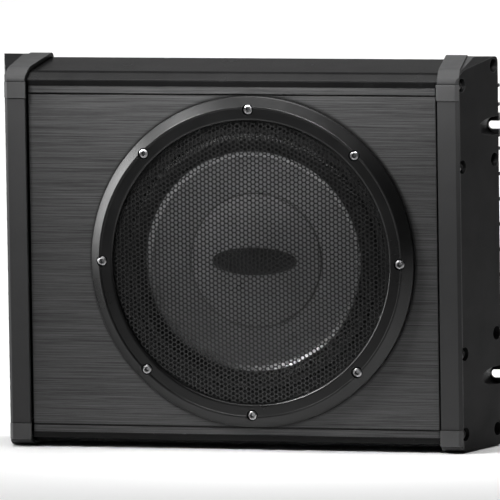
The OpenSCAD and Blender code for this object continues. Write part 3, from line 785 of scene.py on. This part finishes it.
def make_badge():
    """A plain oval with a rounded edge, bent over the dust cap."""
    low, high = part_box("dust_cap_badge")
    half_w = (high.x - low.x) / 2 / MM
    half_h = (high.z - low.z) / 2 / MM
    rise = DUST_TOP_H - DUST_BASE_H
    around, rings = 96, 10
    bm = bmesh.new()

    def layer(share, lift):
        points = []
        for k in range(around):
            a = math.tau * k / around
            x, z = half_w * share * math.cos(a), half_h * share * math.sin(a)
            h = dome_height(math.hypot(x, z), DUST_R, DUST_BASE_H, rise) + lift
            points.append(bm.verts.new((AXIS.x + x * MM, AXIS.y - h * MM, AXIS.z + z * MM)))
        return points

    shell = [layer(1, 0.02), layer(1, 0.3), layer(0.985, 0.44)]
    shell += [layer(1 - 0.09 * k, 0.48) for k in range(1, rings)]
    for low_ring, high_ring in zip(shell, shell[1:]):
        for k in range(around):
            n = (k + 1) % around
            bm.faces.new((low_ring[k], low_ring[n], high_ring[n], high_ring[k]))
    bm.faces.new(shell[-1])
    bm.faces.new(list(reversed(shell[0])))
    piece = from_bmesh("dust_cap_badge_finished", bm, "badge_plastic", 40)
    return place(piece, CONE_BODY, "badge_plastic", "dust_cap_badge")


def cone_share(radius, inner_r, outer_r):
    """How much of the cone's travel a bending piece takes part in at a radius in mm."""
    t = min(1.0, max(0.0, (outer_r - radius) / (outer_r - inner_r)))
    return t * t


def follow_cone(piece, node):
    """Bakes the piece's place into its mesh and shows it in place of the CAD node."""
    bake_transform(piece)
    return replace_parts(piece, node)


# The radii in mm where each piece meets the cone and where it is held still
BENDING_NODES = {"spider": (20, 62), "tinsel_leads": (45, 75)}


def make_bending_nodes():
    """The spider and the leads keep their CAD shapes, shown as smooth pieces in place of their nodes."""
    for node, (inner_r, outer_r) in BENDING_NODES.items():
        piece = from_bmesh(node + "_finished", cad_bmesh(node), SLOT_OF[node], 50)
        follow_cone(piece, node)


def make_surround():
    """A half roll that stays behind the mesh with the cone all the way out."""
    roll_in = CONE_R + 0.7
    roll_out = 92.5
    flange_r = 97.0
    glued_r = CONE_R - 0.6
    middle = (roll_in + roll_out) / 2
    roll_r = (roll_out - roll_in) / 2
    thickness = 0.75
    rise = 3.6
    clearance = 0.4
    roll = []
    for angle in np.radians(range(0, 181, 9)):
        radius = middle + roll_r * math.cos(angle)
        mesh_back = mesh_height(radius) - MESH_SHEET
        free = mesh_back - clearance - TRAVEL * cone_share(radius, roll_in, roll_out)
        roll.append((radius, min(thickness + rise * math.sin(angle), free)))
    inner = [(CONE_R - 0.1, CONE_LIP_H + 0.85), (glued_r, CONE_LIP_H + 0.75)]
    front = [(flange_r, 0.0), (flange_r, 0.9), (roll_out + 0.8, 0.95)] + roll + inner
    back = [(glued_r, CONE_LIP_H + 0.1), (roll_in, CONE_LIP_H + 0.1)]
    back += [(radius, height - thickness) for radius, height in reversed(roll[1:-1])]
    back += [(roll_out, 0.0)]
    piece = from_bmesh("surround_finished", lathe_bmesh(front + back), "surround_rubber", 50)
    return follow_cone(piece, "surround")


# ---- Controls ---------------------------------------------------------------------------------


def make_knob(node):
    """A fluted knob on its shaft, with a pointer line cut in its face."""
    low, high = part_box(node)
    middle = (low + high) / 2
    radius = (high.z - low.z) / 2
    length = 6.8 * MM
    shaft = 2.2 * MM
    around = 144
    flutes = 18
    flute_depth = 0.3 * MM
    bm = bmesh.new()

    def ring(rim, x, fluted):
        points = []
        for k in range(around):
            a = math.tau * k / around
            r = rim - (flute_depth * (0.5 - 0.5 * math.cos(flutes * a)) if fluted else 0)
            points.append(bm.verts.new((x, middle.y + r * math.cos(a), middle.z + r * math.sin(a))))
        return points

    tip, base = low.x, low.x + length
    rings = [
        ring(radius * 0.6, tip + 0.15 * MM, False), ring(radius - 0.75 * MM, tip, False),
        ring(radius - 0.35 * MM, tip + 0.12 * MM, False), ring(radius, tip + 0.5 * MM, True),
        ring(radius, base - 1.2 * MM, True), ring(radius, base - 1.0 * MM, False),
        ring(radius, base, False), ring(shaft, base, False), ring(shaft, high.x, False),
    ]
    for near, away in zip(rings, rings[1:]):
        for k in range(around):
            n = (k + 1) % around
            bm.faces.new((near[k], near[n], away[n], away[k]))
    bm.faces.new(rings[0])
    bm.faces.new(rings[-1])
    piece = from_bmesh(node + "_finished", bm, "black_plastic", 40)
    pointer_bm = bmesh.new()
    bmesh.ops.create_cube(pointer_bm, size=1)
    size = Matrix.Diagonal((1.6 * MM, 0.8 * MM, radius * 0.8, 1))
    spot = Matrix.Translation((tip, middle.y, middle.z + radius * 0.6))
    bmesh.ops.transform(pointer_bm, matrix=spot @ size, verts=pointer_bm.verts)
    cut(piece, [link_object("pointer", mesh_from("pointer", pointer_bm))])
    return place(shade(piece, 40), body_of_node(node), "black_plastic", node)


# ---- Other pieces -----------------------------------------------------------------------------

# How wide the rounding is on the edges of each node that keeps its CAD shape, in mm
EDGE_WIDTHS = {
    "enclosure": 0.35, "front_panel": 0.25, "end_cap_left": 0.7, "end_cap_right": 0.7,
    "corner_trim_top_left": 0.5, "corner_trim_top_right": 0.5,
    "corner_trim_bottom_left": 0.5, "corner_trim_bottom_right": 0.5,
    "control_plate": 0.2, "fuse_holder": 0.3, "fuse": 0.4, "power_terminal_block": 0.5,
    "speaker_input_socket": 0.3, "rca_jack_front": 0.25, "rca_jack_rear": 0.25, "remote_socket": 0.3,
    "phase_switch_body": 0.2, "phase_switch_lever": 0.3,
    "magnet": 0.8, "top_plate": 0.4, "back_plate": 0.5, "woofer_basket": 0.3, "heat_bar": 0.4,
    "amp_board": 0.15, "power_transistors": 0.3, "capacitor_upper": 0.6, "capacitor_lower": 0.6,
    "damping_foam": 1.5,
}


def finish_plain_nodes():
    """Gives every CAD node that is still shown its procedural finish."""
    for node, obj in frame["nodes"].items():
        if obj.hide_render:
            continue
        obj.data.materials.clear()
        obj.data.materials.append(FINISHES[SLOT_OF[node]])


# ---- Stage ------------------------------------------------------------------------------------


def make_stage():
    """A wide pale floor."""
    half = 12.0
    bm = bmesh.new()
    corners = [(-half, -half), (half, -half), (half, half), (-half, half)]
    bm.faces.new([bm.verts.new((x, y, FLOOR_Z)) for x, y in corners])
    floor = link_object("floor", mesh_from("floor", bm))
    s = Shader("floor_paper", (0.9, 0.9, 0.9), 0.9)
    s.vary(2.0, 0.01, 0.02)
    floor.data.materials.append(s.material)


def area_light(name, place_at, aim, size, watts, spread_deg):
    """A rectangular softbox at a place in metres, turned to face aim."""
    data = bpy.data.lights.new(name, "AREA")
    data.shape = "RECTANGLE"
    data.size, data.size_y = size
    data.energy = watts
    data.spread = math.radians(spread_deg)
    light = link_object(name, data)
    light.location = place_at
    light.rotation_mode = "QUATERNION"
    light.rotation_quaternion = (Vector(aim) - Vector(place_at)).to_track_quat("-Z", "Y")


def make_lights():
    """A bright sheet of light on the floor, a narrow key from above and three soft fills."""
    world = bpy.data.worlds.new("studio")
    bpy.context.scene.world = world
    world.use_nodes = True
    back = world.node_tree.nodes["Background"]
    back.inputs["Color"].default_value = (1, 1, 1, 1)
    back.inputs["Strength"].default_value = 0.04
    area_light("floor_softbox", (0, 2.62, 3.0), (0, 2.62, 0), (4.0, 6.0), 96, 50)
    area_light("rear_softbox", (-1.2, 4.5, 1.7), (0, 0, 0.1), (4.0, 1.2), 4.6, 180)
    area_light("key_softbox", (0.26, -0.6, 0.56), (0.2, -0.06, 0.19), (0.6, 0.1), 0.62, 21)
    area_light("upper_left_softbox", (-0.5, -0.42, 0.58), (-0.03, -0.06, 0.07), (0.2, 0.2), 0.48, 34)
    area_light("left_softbox", (-1.3, -0.2, 0.35), (0, -0.06, 0), (0.4, 0.9), 1.9, 60)


# The view of the front and the right end: angles in degrees, distances in metres, lens in mm
CAMERA_AZIMUTH = 14.61
CAMERA_ELEVATION = 5.99
CAMERA_ROLL = -0.87
CAMERA_DISTANCE = 6.0
CAMERA_LENS = 603.5
CAMERA_AIM = (0.0051, -0.03, 0.0003)


def make_camera():
    """A long lens from far off, rolled a little as the photo is."""
    data = bpy.data.cameras.new("camera")
    data.sensor_width = 36
    data.lens = CAMERA_LENS
    data.clip_end = 60
    camera = link_object("camera", data)
    a, e = math.radians(CAMERA_AZIMUTH), math.radians(CAMERA_ELEVATION)
    back = Vector((math.sin(a) * math.cos(e), -math.cos(a) * math.cos(e), math.sin(e)))
    camera.location = Vector(CAMERA_AIM) + back * CAMERA_DISTANCE
    camera.rotation_mode = "QUATERNION"
    level = (-back).to_track_quat("-Z", "Y")
    roll = Matrix.Rotation(math.radians(CAMERA_ROLL), 3, "Z").to_quaternion()
    camera.rotation_quaternion = level @ roll
    bpy.context.scene.camera = camera


make_camera()
make_lights()
make_stage()
bpy.context.scene.view_settings.view_transform = "Standard"

make_ring()
make_mesh()
make_grille_screws()
make_side_screws("side_screws_left", -1)
make_side_screws("side_screws_right", 1)
make_cone()
make_dust_cap()
make_badge()
make_surround()
make_bending_nodes()
for knob_name in ("gain_knob", "crossover_knob", "boost_knob"):
    make_knob(knob_name)
for node_name, edge_width in EDGE_WIDTHS.items():
    refined(node_name, edge_width * MM)
finish_plain_nodes()
